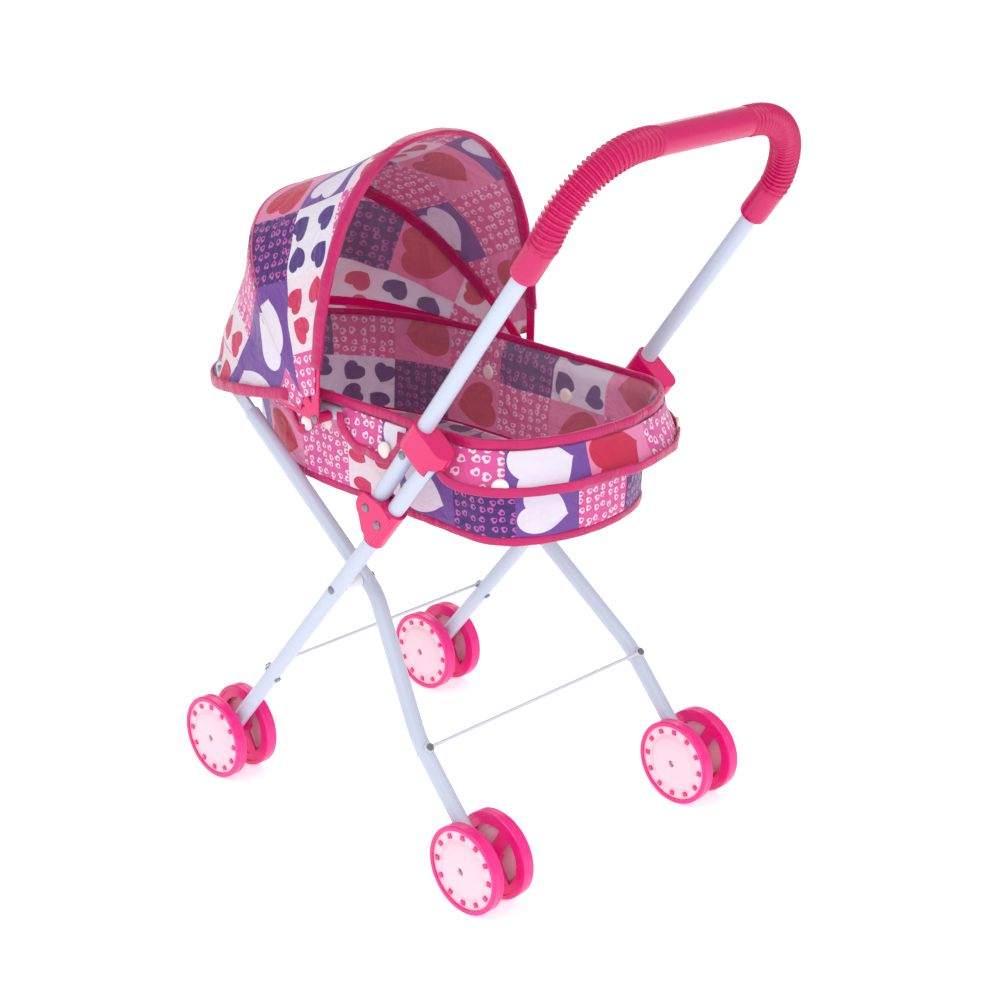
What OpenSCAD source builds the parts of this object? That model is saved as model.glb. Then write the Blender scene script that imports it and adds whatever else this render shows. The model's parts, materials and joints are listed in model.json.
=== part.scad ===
// Folding doll stroller: crossed tube legs, push handle, oval carrycot with a folding hood.
// Side view: +X towards the pusher, +Z up. The left side of the stroller is at -Y.

/* [Wheels] */
// Diameter of each wheel
wheel_d = 77; // [72:1:80]
// Width of each wheel across its tread
wheel_w = 11; // [10:1:11]
// Distance between the front and rear axles
wheelbase = 327; // [324:1:330]
// Square windows round each hub cap
cap_windows = 12; // [8:1:14]
// Spokes of each rim
rim_spokes = 3; // [3:1:5]

/* [Frame] */
// Outer diameter of the leg and handle tubes
tube_d = 14; // [13:0.5:14]
// Wall of the leg and handle tubes
tube_wall = 0.8; // [0.6:0.1:1.2]
// Distance from the centre plane to the front legs and the handle
leg_y = 129.5; // [129:0.5:132]
// Distance from the centre plane to the upper rear legs
rear_leg_y = 98; // [98:0.5:99]
// Diameter of the cross wires
wire_d = 3.2; // [2.5:0.1:3.5]
// Slope of the push handle above the floor
handle_slope = 53.2; // [52.5:0.1:53.5]

/* [Handle] */
// Outer diameter of the grip
grip_d = 23; // [20:1:25]
// Length of the straight stretch of the handle, pivot to bend
handle_run = 314; // [308:1:320]
// Radius of the two corner bends
corner_r = 70; // [60:1:75]
// Slope of the top of the handle, past the bend
top_slope = 64.5; // [60:0.5:68]

/* [Carrycot] */
// Height of the carrycot's ring above the floor
ring_z = 371; // [371:0.5:372]
// Half of the ring's width, to the middle of its tube
ring_w = 105; // [104:0.5:105]
// Outer diameter of the ring's tube
ring_d = 12; // [11:0.5:12]
// Height of the carrycot's bottom above the floor
cot_bottom = 296; // [292:1:300]

/* [Hood] */
// Height of the front bow above its pivot
bow_h = 220; // [214:1:222]
// Width of each bow's flat strip
bow_w = 9; // [8:0.5:10]
// Thickness of each bow's strip
bow_t = 1.2; // [1:0.1:1.2]
// Angle of the front bow, from the foot end over the top
front_bow_a = 87.5; // [86:0.5:92]
// Angle of the middle bow
mid_bow_a = 136.5; // [135:0.5:138]
// Angle of the rear bow
rear_bow_a = 173; // [172:0.5:174]

/* [Hidden] */
$fn = 48;
tube_r = tube_d / 2;
wheel_r = wheel_d / 2;
ring_r = ring_d / 2;
pin_r = 2;
pin_fit = 0.05;
glue_fit = 0.05;
shift_x = -4.35;

// Points of the side view, [x, z]
front_axle = [-169, wheel_r];
rear_axle = [front_axle[0] + wheelbase, wheel_r];
crossing = [-13, 228];
handle_pivot = [37, 316.5];
head_pivot = [-198, ring_z];
hood_pivot = [-39, ring_z - 1.5];

front_dir = unit(crossing - front_axle);
handle_dir = [cos(handle_slope), sin(handle_slope)];
top_dir = [cos(top_slope), sin(top_slope)];
// How far the handle folds forward, and where it then points
fold_angle = 110;
folded_dir = [cos(handle_slope + fold_angle), sin(handle_slope + fold_angle)];
cot_pivot_s = (ring_z - handle_pivot[1]) / handle_dir[1];
cot_pivot = handle_pivot + cot_pivot_s * handle_dir;
front_leg_len = 427;

// Rear leg: two bends, the second where the leg has splayed out to the wheels
rear_dir = unit(crossing - head_pivot);
bend_1 = crossing + 16 * rear_dir;
bend_2 = [85, 122];
flat_len = 50;
flat_w = 13;
flat_t = 3;
head_pin_in = 89.5;

// Wheels: the inner face stands off the leg's middle
wheel_in = 11.5;
cap_r = wheel_r - 4.2;
boss_r = 6;

// Cross wires: distance from the axle along the front leg, and pad size
front_wire_s = 103;
wire_pad_r = 4.5;
wire_pad_t = 1.6;

// Handle: where the side tubes end, where the grip starts, and the steps round a corner
handle_joint = 300;
grip_start = 277;
corner_steps = 12;

// Lower bracket and lock, measured along the handle from its pivot
bracket_w = 21;
lock_low = 75;
lock_h = 27;
lock_wall = 3;
lock_gap = 21.5;

// Carrycot outlines: centre and length of the foot and head half ellipses
foot_c = 109.5;
foot_a = 64.5;
head_c = -60;
head_a = 185;
rim_out = 7;
liner_w = 89.5;
liner_foot_a = 44;
liner_head_a = 170;
liner_t = 1.5;
collar_low = ring_z + 10;
collar_top = ring_z + 19.5;
flap_low = ring_z - 21;
flap_t = 0.8;
snap_d = 14;
snap_z = flap_low + 9;
side_snap_x = [-61, 34.5];
foot_snap_a = 60;

// Hood: bows lie one outside the other, and the arch is a superellipse
arch_n = 2.35;
arch_steps = 24;
arch_foot = 6;
bow_gap = 1.5;
front_bow_w = 126.1;
canopy_t = 0.8;
canopy_hub = 12;
hem_n = 3.4;
hem_h = 25;
hem_start = 30;

// ---- helpers ----

function unit(v) = v / norm(v);
// A point of the side view placed at distance y from the centre plane
function at_y(p, y) = [p[0], y, p[1]];
// A step square to a direction of the side view, towards its upper left
function left_of(d) = [-d[1], d[0]];
// Half ellipses at both ends joined by straight sides
function oval(w, foot, head, steps = 28) = concat(
    [for (i = [0:steps]) let (a = -90 + 180 * i / steps) [foot_c + foot * cos(a), w * sin(a)]],
    [for (i = [0:steps]) let (a = 90 + 180 * i / steps) [head_c + head * cos(a), w * sin(a)]]);
// Superellipse arch on short straight feet, from -y over the top to +y, as [y, height]
function arch(w, h, n = arch_n) = concat([[-w, 0]], [for (i = [0:2 * arch_steps])
    let (a = 180 * i / (2 * arch_steps), c = cos(a), s = sin(a))
    [-w * sign(c) * pow(abs(c), 2 / n), arch_foot + (h - arch_foot) * pow(s, 2 / n)]], [[w, 0]]);

module run(a, b, r) {
    d = b - a;
    translate(a) rotate([0, acos(d[2] / norm(d)), atan2(d[1], d[0])]) cylinder(r = r, h = norm(d));
}

// A pin along Y between two distances from the centre plane
module cross_pin(p, y1, y2, r) {
    translate([p[0], min(y1, y2), p[1]]) rotate([-90, 0, 0]) cylinder(r = r, h = abs(y2 - y1));
}

// A domed rivet head whose flat side is at y, bulging towards side
module rivet_head(p, y, side, r = 3.5, h = 1.6) {
    translate([p[0], y, p[1]]) rotate([-90 * side, 0, 0]) rotate_extrude()
        polygon([[0, 0], [r, 0], [r, h * 0.35], [r * 0.8, h * 0.75], [r * 0.45, h], [0, h]]);
}

// Tube of radius r swept along points; ref stays square to the route
module sweep(pts, r, ref, sides = 12) {
    n = len(pts);
    tangents = [for (i = [0:n - 1]) unit(pts[min(i + 1, n - 1)] - pts[max(i - 1, 0)])];
    verts = [for (i = [0:n - 1]) let (u = unit(cross(tangents[i], ref)), v = cross(u, tangents[i]))
        for (j = [0:sides - 1]) pts[i] + r * cos(360 * j / sides) * u + r * sin(360 * j / sides) * v];
    walls = [for (i = [0:n - 2]) for (j = [0:sides - 1])
        let (a = i * sides + j, b = i * sides + (j + 1) % sides, c = b + sides, d = a + sides)
        each [[a, b, c], [a, c, d]]];
    polyhedron(verts, concat(walls, [[for (j = [sides - 1:-1:0]) j]],
        [[for (j = [0:sides - 1]) (n - 1) * sides + j]]));
}

module placed() {
    translate([shift_x, 0, 0]) children();
}

// ---- front legs ----

function front_point(s) = front_axle + s * front_dir;
// Foot of the square from the handle's pivot onto the front leg
bracket_rivet_s = (handle_pivot - front_axle) * front_dir;

module front_leg(side) {
    a = at_y(front_point(-6), side * leg_y);
    b = at_y(front_point(front_leg_len), side * leg_y);
    e = at_y(front_point(-7), side * leg_y);
    f = at_y(front_point(front_leg_len + 1), side * leg_y);
    color("ghostwhite") placed() difference() {
        run(a, b, tube_r);
        run(e, f, tube_r - tube_wall);
        cross_pin(front_axle, side * (leg_y - 9), side * (leg_y + 9), pin_r + pin_fit);
        cross_pin(crossing, side * (leg_y - 9), side * (leg_y + 9), pin_r + pin_fit);
        cross_pin(front_point(bracket_rivet_s), side * (leg_y - 9), side * (leg_y + 9), pin_r + pin_fit);
        run(at_y(front_point(front_wire_s) - 9 * left_of(front_dir), side * leg_y),
            at_y(front_point(front_wire_s) + 9 * left_of(front_dir), side * leg_y), 1.5 + pin_fit);
    }
}

// A wire with flattened ends and a rivet hole in each, standing off the tube by its half thickness
module cross_wire(p, out) {
    q = p + (tube_r + wire_pad_t / 2 + 0.05) * out;
    color("whitesmoke") placed() difference() {
        union() {
            run(at_y(q, -leg_y + wire_pad_r - 1), at_y(q, leg_y - wire_pad_r + 1), wire_d / 2);
            for (side = [-1, 1])
                run(at_y(q - wire_pad_t / 2 * out, side * leg_y), at_y(q + wire_pad_t / 2 * out, side * leg_y),
                    wire_pad_r);
        }
        for (side = [-1, 1])
            run(at_y(q - 5 * out, side * leg_y), at_y(q + 5 * out, side * leg_y), 1.5 + pin_fit);
        for (side = [-1, 1])
            run(at_y(q - 5 * out, side * leg_y), at_y(q - wire_pad_t / 2 * out, side * leg_y), wire_pad_r + 1);
    }
}

module wire_rivet(p, out, side) {
    q = at_y(p - (tube_r + 0.1) * out, side * leg_y);
    r = at_y(p + (tube_r + wire_pad_t + 0.15) * out, side * leg_y);
    run(q, r, 1.5);
    run(r, r + at_y(1.2 * out, 0), 3);
    run(q - at_y(1.2 * out, 0), q, 3);
}

module axle(p, side) {
    color("silver") placed() {
        cross_pin(p, side * (leg_y - wheel_in - wheel_w + 0.6), side * (leg_y + wheel_in + wheel_w - 0.6), pin_r);
    }
}

// ---- lower brackets ----

module lower_bracket(side) {
    s0 = bracket_rivet_s - 24;
    s1 = bracket_rivet_s + 18;
    q = handle_pivot;
    color("deeppink") placed() difference() {
        union() {
            run(at_y(front_point(s0), side * leg_y), at_y(front_point(s1), side * leg_y), tube_r + lock_wall);
            translate([0, side * leg_y + bracket_w / 2, 0]) rotate([90, 0, 0]) linear_extrude(bracket_w)
                bracket_outline(s0 + 4, s1 - 1.5);
        }
        run(at_y(front_point(s0 - 1), side * leg_y), at_y(front_point(s1 + 1), side * leg_y), tube_r + glue_fit);
        translate([0, side * leg_y + tube_r + 0.3, 0]) rotate([90, 0, 0]) linear_extrude(tube_d + 0.6)
            bracket_slot();
        cross_pin(q, side * (leg_y - 12), side * (leg_y + 12), pin_r + pin_fit);
        cross_pin(front_point(bracket_rivet_s), side * (leg_y - 12), side * (leg_y + 12), pin_r + pin_fit);
    }
}

// Cheek around the handle's end, joined to the sleeve
module bracket_outline(s0, s1) {
    u = left_of(front_dir);
    polygon([front_point(s0) - 6 * u, front_point(s1) - 6 * u, front_point(s1) + 9 * u,
        handle_pivot + 9 * handle_dir + 9.5 * u, handle_pivot - 6 * handle_dir + 10 * u,
        front_point(s0) + 8.5 * u]);
    translate(handle_pivot) circle(r = 11.5);
}

// Room for the handle's end through its whole swing
module bracket_slot() {
    u = left_of(front_dir);
    translate(handle_pivot) circle(r = 9.7);
    below = handle_pivot - (tube_r + 0.4) * left_of(handle_dir);
    behind = handle_pivot + (tube_r + 0.4) * left_of(folded_dir);
    polygon([below, below + 40 * handle_dir, handle_pivot + 40 * handle_dir + 40 * u,
        handle_pivot + 40 * u, behind + 40 * folded_dir, behind]);
}

module frame_rivets() {
    color("gray") placed() for (side = [-1, 1]) {
        cross_pin(front_point(bracket_rivet_s), side * (leg_y - bracket_w / 2 - 0.1),
            side * (leg_y + bracket_w / 2 + 0.1), pin_r);
        rivet_head(front_point(bracket_rivet_s), side * (leg_y + bracket_w / 2 + 0.05), side);
        rivet_head(front_point(bracket_rivet_s), side * (leg_y - bracket_w / 2 - 0.05), -side);
        wire_rivet(front_point(front_wire_s), left_of(front_dir), side);
    }
}

module pivot_pins() {
    color("gray") placed() for (side = [-1, 1]) {
        cross_pin(handle_pivot, side * (leg_y - bracket_w / 2 - 0.1), side * (leg_y + bracket_w / 2 + 0.1), pin_r);
        rivet_head(handle_pivot, side * (leg_y + bracket_w / 2 + 0.05), side);
        rivet_head(handle_pivot, side * (leg_y - bracket_w / 2 - 0.05), -side);
        cross_pin(crossing, side * (rear_leg_y - tube_r - 0.3), side * (leg_y + tube_r + 0.1), pin_r);
        rivet_head(crossing, side * (leg_y + tube_r + 0.05), side);
        rivet_head(crossing, side * (rear_leg_y - tube_r - 0.2), -side, 3.4, 0.9);
    }
}

module crossing_spacers() {
    color("ghostwhite") placed() for (side = [-1, 1]) difference() {
        cross_pin(crossing, side * (rear_leg_y + tube_r + 0.1), side * (leg_y - tube_r - 0.1), 5);
        cross_pin(crossing, side * rear_leg_y, side * leg_y, pin_r + pin_fit);
    }
}

// ---- rear legs ----

// Points round a corner of a route, from reach before it to reach after it
function rounded(before, p, after, reach, steps = 5) = let (a = p + reach * unit(before - p),
    b = p + reach * unit(after - p))
    [for (i = [0:steps]) let (t = i / steps) (1 - t) * (1 - t) * a + 2 * t * (1 - t) * p + t * t * b];

// Route of a rear leg from its flattened top over both bends, to the axle and past it by end
function rear_route(side, top, end) = let (p0 = at_y(head_pivot + top * rear_dir, side * rear_leg_y),
    p1 = at_y(bend_1, side * rear_leg_y), p2 = at_y(bend_2, side * leg_y),
    p3 = at_y(rear_axle + end * unit(rear_axle - bend_2), side * leg_y))
    concat([p0], rounded(p0, p1, p2, 12), rounded(p1, p2, p3, 12), [p3]);

module rear_leg(side) {
    up = head_pivot + (flat_len + 3) * rear_dir;
    color("ghostwhite") placed() difference() {
        union() {
            sweep(rear_route(side, flat_len, 6), tube_r, [0, 1, 0], 24);
            translate([0, side * rear_leg_y + flat_t / 2, 0]) rotate([90, 0, 0]) linear_extrude(flat_t)
                union() {
                    translate(head_pivot) circle(r = flat_w / 2);
                    polygon([head_pivot + flat_w / 2 * left_of(rear_dir), up + flat_w / 2 * left_of(rear_dir),
                        up - flat_w / 2 * left_of(rear_dir), head_pivot - flat_w / 2 * left_of(rear_dir)]);
                }
        }
        sweep(rear_route(side, flat_len + 5, 8), tube_r - tube_wall, [0, 1, 0], 24);
        cross_pin(rear_axle, side * (leg_y - 9), side * (leg_y + 9), pin_r + pin_fit);
        cross_pin(crossing, side * (rear_leg_y - 9), side * (rear_leg_y + 9), pin_r + pin_fit);
        cross_pin(head_pivot, side * (rear_leg_y - 4), side * (rear_leg_y + 4), pin_r + pin_fit);
        run(at_y(rear_wire_at - 9 * rear_out, side * leg_y), at_y(rear_wire_at + 9 * rear_out, side * leg_y),
            1.5 + pin_fit);
    }
}

// Where the rear wire is riveted on, just below the second bend, and the way it stands off
rear_wire_at = bend_2 + 10 * unit(rear_axle - bend_2);
rear_out = left_of(unit(rear_axle - bend_2));

module rear_rivets() {
    color("gray") placed() for (side = [-1, 1]) wire_rivet(rear_wire_at, rear_out, side);
}

// Pins in the flattened tops, on which the head of the carrycot hangs
module head_pins() {
    color("gray") placed() for (side = [-1, 1]) {
        cross_pin(head_pivot, side * head_pin_in, side * (rear_leg_y + flat_t / 2 + 0.1), pin_r);
        rivet_head(head_pivot, side * (rear_leg_y + flat_t / 2 + 0.05), side);
        cross_pin(head_pivot, side * (rear_leg_y - flat_t / 2 - 1.05), side * (rear_leg_y - flat_t / 2 - 0.05), 4);
    }
}

// ---- wheels ----

// Both faces of a wheel are square to Y; out is the direction away from the leg
module wheel_place(p, side, outer) {
    out = outer ? side : -side;
    translate([p[0], side * leg_y + out * wheel_in, p[1]]) rotate([-90 * out, 0, 0]) children();
}

module rim(p, side, outer) {
    color("hotpink") placed() wheel_place(p, side, outer) difference() {
        union() {
            rotate_extrude($fn = 96) polygon([[cap_r + 0.1, 0], [wheel_r - 1, 0], [wheel_r, 1], [wheel_r, 3.2],
                [wheel_r - 0.5, 3.7], [wheel_r, 4.2], [wheel_r, wheel_w - 1], [wheel_r - 1, wheel_w],
                [cap_r + 0.1, wheel_w]]);
            difference() {
                translate([0, 0, 1]) cylinder(r = cap_r + 1, h = 2.2);
                for (i = [0:rim_spokes - 1]) rotate(360 * i / rim_spokes) linear_extrude(8, center = true)
                    rim_window();
            }
            translate([0, 0, tube_r + 0.2 - wheel_in]) cylinder(r = boss_r, h = 12);
        }
        translate([0, 0, -10]) cylinder(r = pin_r + 0.08, h = 30);
    }
}

// Opening between two spokes of a rim
module rim_window() {
    span = 360 / rim_spokes;
    difference() {
        circle(r = cap_r - 7);
        circle(r = boss_r + 4);
        rotate(span / 2) translate([0, -6]) square([cap_r, 12]);
        rotate(-span / 2) translate([0, -6]) square([cap_r, 12]);
        polygon([[0, 0], [60 * cos(span / 2), 60 * sin(span / 2)], [-60, 0], [60 * cos(span / 2),
            -60 * sin(span / 2)]]);
    }
}

module cap(p, side, outer) {
    color("mistyrose") placed() wheel_place(p, side, outer) difference() {
        rotate_extrude($fn = 96) polygon([[3, wheel_w - 2.4], [21, wheel_w - 2.4], [24, wheel_w - 3.6],
            [cap_r, wheel_w - 3.6], [cap_r, wheel_w - 1.6], [26, wheel_w - 1.8], [22.5, wheel_w + 0.2],
            [16, wheel_w + 1.4], [7, wheel_w + 1.9], [3.6, wheel_w + 1.9], [3, wheel_w + 1.2]]);
        for (i = [0:cap_windows - 1]) rotate(360 * i / cap_windows)
            translate([cap_r - 6.6, -2.2, wheel_w - 5]) cube([4.2, 4.4, 5]);
    }
}

// ---- push handle ----

function handle_point(s) = handle_pivot + s * handle_dir;

// Route of the handle's top, from one side over both corners to the other
function handle_route(s0) = let (half = concat([at_y(handle_point(s0), leg_y)],
        [at_y(handle_point(handle_run - 6), leg_y), at_y(handle_point(handle_run) + 0.7 * left_of(handle_dir), leg_y)],
        [for (a = [90 / corner_steps:90 / corner_steps:90])
            at_y(handle_point(handle_run) + corner_r * sin(a) * top_dir, leg_y - corner_r * (1 - cos(a)))]),
    n = len(half))
    concat([for (p = half) [p[0], -p[1], p[2]]], [for (i = [n - 1:-1:0]) half[i]]);

module handle_side(side) {
    color("ghostwhite") placed() difference() {
        run(at_y(handle_point(-6), side * leg_y), at_y(handle_point(handle_joint), side * leg_y), tube_r);
        run(at_y(handle_point(-7), side * leg_y), at_y(handle_point(handle_joint + 1), side * leg_y),
            tube_r - tube_wall);
        cross_pin(handle_pivot, side * (leg_y - 9), side * (leg_y + 9), pin_r + pin_fit);
        cross_pin(cot_pivot, side * (leg_y - 9), side * (leg_y + 9), pin_r + pin_fit);
    }
}

// Bent top of the handle, which meets the two side tubes inside the grip
module handle_bow() {
    color("ghostwhite") placed() sweep(handle_route(handle_joint + 0.1), tube_r - 0.1, at_y(left_of(top_dir), 0));
}

module handle_grip() {
    color("deeppink") placed() difference() {
        sweep(handle_route(grip_start), grip_d / 2, at_y(left_of(top_dir), 0), 16);
        sweep(handle_route(grip_start - 1), tube_r + 0.4, at_y(left_of(top_dir), 0), 16);
    }
}

// Screws through the handle, on which the carrycot's ring turns
module cot_screws() {
    color("gray") placed() for (side = [-1, 1]) {
        cross_pin(cot_pivot, side * (ring_w - 3.5), side * (leg_y + tube_r + 0.1), pin_r);
        rivet_head(cot_pivot, side * (leg_y + tube_r + 0.05), side);
    }
}

module cot_spacers() {
    color("whitesmoke") placed() for (side = [-1, 1]) difference() {
        cross_pin(cot_pivot, side * (ring_w + ring_r + 0.2), side * (leg_y - tube_r - 0.1), 4.5);
        cross_pin(cot_pivot, side * ring_w, side * leg_y, pin_r + pin_fit);
    }
}

// ---- locks ----

// Sleeve that slides on the handle and holds the front leg's top from both sides
module lock(side) {
    color("deeppink") placed() translate(at_y(handle_point(lock_low), side * leg_y))
        rotate([0, 90 - handle_slope, 0]) difference() {
            union() {
                linear_extrude(lock_h) lock_outline(tube_r + lock_wall, 0);
                translate([0, 0, lock_h * 0.55]) linear_extrude(lock_h * 0.45) lock_outline(tube_r + lock_wall, 3);
            }
            translate([0, 0, -1]) cylinder(r = tube_r + 0.08, h = lock_h + 2);
            translate([lock_gap, 0, -1]) cylinder(r = tube_r + 0.9, h = 10);
            translate([lock_gap, -tube_r - 0.9, -1]) cube([20, tube_d + 1.8, 10]);
        }
}

// Two joined rounds, the second reaching further by extra
module lock_outline(r, extra) {
    circle(r = r);
    translate([0, -r]) square([lock_gap + extra, 2 * r]);
    translate([lock_gap + extra, 0]) circle(r = r);
}

// ---- carrycot ----

// Tube of radius r swept along the ring's oval
module ring_sweep(r, sides = 12) {
    pts = oval(ring_w, foot_a, head_a, 22);
    n = len(pts);
    tangents = [for (i = [0:n - 1]) unit(pts[(i + 1) % n] - pts[(i + n - 1) % n])];
    verts = [for (i = [0:n - 1]) for (j = [0:sides - 1]) let (a = 360 * j / sides)
        [pts[i][0] + r * cos(a) * tangents[i][1], pts[i][1] - r * cos(a) * tangents[i][0], ring_z + r * sin(a)]];
    faces = [for (i = [0:n - 1]) for (j = [0:sides - 1])
        let (a = i * sides + j, b = i * sides + (j + 1) % sides, c = ((i + 1) % n) * sides + (j + 1) % sides,
            d = ((i + 1) % n) * sides + j) each [[a, b, c], [a, c, d]]];
    polyhedron(verts, faces);
}

module cot_ring() {
    color("ghostwhite") placed() difference() {
        ring_sweep(ring_r);
        ring_sweep(ring_r - tube_wall - 0.2);
        for (side = [-1, 1]) {
            cross_pin(cot_pivot, side * (ring_w - 9), side * (ring_w + 9), pin_r + pin_fit);
            cross_pin(hood_pivot, side * (ring_w - 9), side * (ring_w + 9), 1.5 + pin_fit);
        }
    }
}

module cot_liner() {
    color("plum") placed() difference() {
        union() {
            translate([0, 0, cot_bottom]) linear_extrude(collar_top - cot_bottom)
                polygon(oval(liner_w, liner_foot_a, liner_head_a));
            translate([0, 0, collar_low]) linear_extrude(collar_top - collar_low)
                polygon(oval(ring_w + rim_out, foot_a + rim_out, head_a + rim_out));
        }
        translate([0, 0, cot_bottom + liner_t]) linear_extrude(collar_top)
            polygon(oval(liner_w - liner_t, liner_foot_a - liner_t, liner_head_a - liner_t));
    }
}

module base_board() {
    color("burlywood") placed() translate([0, 0, cot_bottom + liner_t + 0.1]) linear_extrude(2)
        polygon(oval(liner_w - 4, liner_foot_a - 4, liner_head_a - 4));
}

// Band of the flap that hangs outside the ring, between two x values on one or both sides
module valance(x1, x2, y1, y2) {
    color("orchid") placed() translate([0, 0, flap_low]) linear_extrude(collar_low - 0.3 - flap_low)
        intersection() {
            difference() {
                polygon(oval(ring_w + rim_out + 1.2 + flap_t, foot_a + rim_out + 1.2 + flap_t, head_a + rim_out));
                polygon(oval(ring_w + rim_out + 1.2, foot_a + rim_out + 1.2, head_a + rim_out - flap_t));
            }
            translate([x1, y1]) square([x2 - x1, y2 - y1]);
        }
}

// Round caps of the press studs: two on each side flap's row and one on each corner of the foot flap
module snap_caps() {
    color("ivory") placed() for (side = [-1, 1]) {
        for (x = side_snap_x) cross_pin([x, snap_z], side * (ring_w + rim_out + 2.3), side * (ring_w + rim_out + 4.3),
            snap_d / 2);
        translate([foot_c + (foot_a + rim_out + 2.4) * cos(foot_snap_a),
            side * (ring_w + rim_out + 2.4) * sin(foot_snap_a), snap_z])
            rotate([0, 90, side * atan2(sin(foot_snap_a) / (ring_w + rim_out), cos(foot_snap_a) / (foot_a + rim_out))])
            cylinder(r = snap_d / 2, h = 2);
    }
}

// ---- hood ----

// Turns a shape drawn upright over the hood's pivots to an angle over the top
module hood_turn(angle) {
    translate(at_y(hood_pivot, 0)) rotate([0, 90 - angle, 0]) children();
}

// Strip of thickness t along an arch, open at the feet
module arch_band(w, h, t) {
    n = 2 * arch_steps + 3;
    inner = arch(w - t, h - t);
    polygon(concat(arch(w, h), [for (i = [n - 1:-1:0]) inner[i]]));
}

module bow(angle, order) {
    w = front_bow_w - bow_gap * order;
    h = bow_h - bow_gap * order;
    color("deeppink") placed() hood_turn(angle) difference() {
        union() {
            translate([bow_w / 2, 0, 0]) rotate([90, 0, -90]) linear_extrude(bow_w) arch_band(w, h, bow_t);
            for (side = [-1, 1]) cross_pin([0, 0], side * (w - bow_t), side * w, bow_w / 2 + 0.5);
        }
        for (side = [-1, 1]) cross_pin([0, 0], side * (w - bow_t - 1), side * (w + 1), 1.5 + pin_fit);
    }
}

// Shell of cloth between two bow angles, inside the bows
module canopy(from, to, w, h) {
    color("plum") placed() translate(at_y(hood_pivot, 0)) rotate([90, 0, 0]) rotate([0, 0, from])
        rotate_extrude(angle = to - from, $fn = 96) canopy_section(w, h);
}

module canopy_section(w, h) {
    difference() {
        intersection() {
            rotate(-90) polygon(arch(w, h));
            translate([canopy_hub, -w]) square([h, 2 * w]);
        }
        rotate(-90) polygon(arch(w - canopy_t, h - canopy_t));
    }
}

// Band round the head end, from one side of the ring to the other
module hood_hem() {
    w = front_bow_w - 1.6;
    h = bow_h - 1;
    color("deeppink") placed() translate([hood_pivot[0], 0, ring_z + 1 - hem_h]) linear_extrude(hem_h)
        intersection() {
            rotate(90) difference() {
                polygon(arch(w, h, hem_n));
                polygon(arch(w - 1, h - 1, hem_n));
            }
            translate([-h - 1, -w - 1]) square([h + 1 - hem_start, 2 * w + 2]);
        }
}

module hood_rivets() {
    color("gray") placed() for (side = [-1, 1]) {
        cross_pin(hood_pivot, side * (ring_w - 5), side * (front_bow_w + 0.2), 1.5);
        rivet_head(hood_pivot, side * (front_bow_w + 0.1), side, 3.4, 1.5);
    }
}

module hood_spacers() {
    color("deeppink") placed() for (side = [-1, 1]) difference() {
        cross_pin(hood_pivot, side * (ring_w + ring_r + 0.1), side * (front_bow_w - 2 * bow_gap - bow_t - 0.1), 4.5);
        cross_pin(hood_pivot, side * ring_w, side * front_bow_w, 1.5 + pin_fit);
    }
}

// ---- nodes ----

front_leg(-1);  // front_leg_left
front_leg(1);  // front_leg_right
cross_wire(front_point(front_wire_s), left_of(front_dir));  // front_cross_wire
axle(front_axle, -1);  // front_axle_left
axle(front_axle, 1);  // front_axle_right
lower_bracket(-1);  // lower_bracket_left
lower_bracket(1);  // lower_bracket_right
frame_rivets();
pivot_pins();
crossing_spacers();
rear_leg(-1);  // rear_leg_left
rear_leg(1);  // rear_leg_right
cross_wire(rear_wire_at, rear_out);  // rear_cross_wire
axle(rear_axle, -1);  // rear_axle_left
axle(rear_axle, 1);  // rear_axle_right
rear_rivets();
head_pins();
rim(front_axle, -1, true);  // rim_front_left_outer
rim(front_axle, -1, false);  // rim_front_left_inner
rim(front_axle, 1, false);  // rim_front_right_inner
rim(front_axle, 1, true);  // rim_front_right_outer
rim(rear_axle, -1, true);  // rim_rear_left_outer
rim(rear_axle, -1, false);  // rim_rear_left_inner
rim(rear_axle, 1, false);  // rim_rear_right_inner
rim(rear_axle, 1, true);  // rim_rear_right_outer
cap(front_axle, -1, true);  // cap_front_left_outer
cap(front_axle, -1, false);  // cap_front_left_inner
cap(front_axle, 1, false);  // cap_front_right_inner
cap(front_axle, 1, true);  // cap_front_right_outer
cap(rear_axle, -1, true);  // cap_rear_left_outer
cap(rear_axle, -1, false);  // cap_rear_left_inner
cap(rear_axle, 1, false);  // cap_rear_right_inner
cap(rear_axle, 1, true);  // cap_rear_right_outer
handle_side(-1);  // handle_side_left
handle_side(1);  // handle_side_right
handle_bow();
handle_grip();
cot_screws();
cot_spacers();
lock(-1);  // lock_left
lock(1);  // lock_right
cot_ring();
cot_liner();
base_board();
valance(100, 200, -150, 150);  // valance_foot
valance(-22, 52, -150, 0);  // valance_left_side
valance(-22, 52, 0, 150);  // valance_right_side
valance(-96, -47, -150, 0);  // valance_left_head
valance(-96, -47, 0, 150);  // valance_right_head
snap_caps();
hood_rivets();
hood_spacers();
bow(rear_bow_a, 2);  // bow_rear
bow(mid_bow_a, 1);  // bow_mid
bow(front_bow_a, 0);  // bow_front
canopy(mid_bow_a + 1, rear_bow_a - 2, 121.6, 215);  // canopy_rear
canopy(front_bow_a + 1, mid_bow_a - 1, 119.5, 212.5);  // canopy_front
hood_hem();
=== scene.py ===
import json
import math

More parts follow.
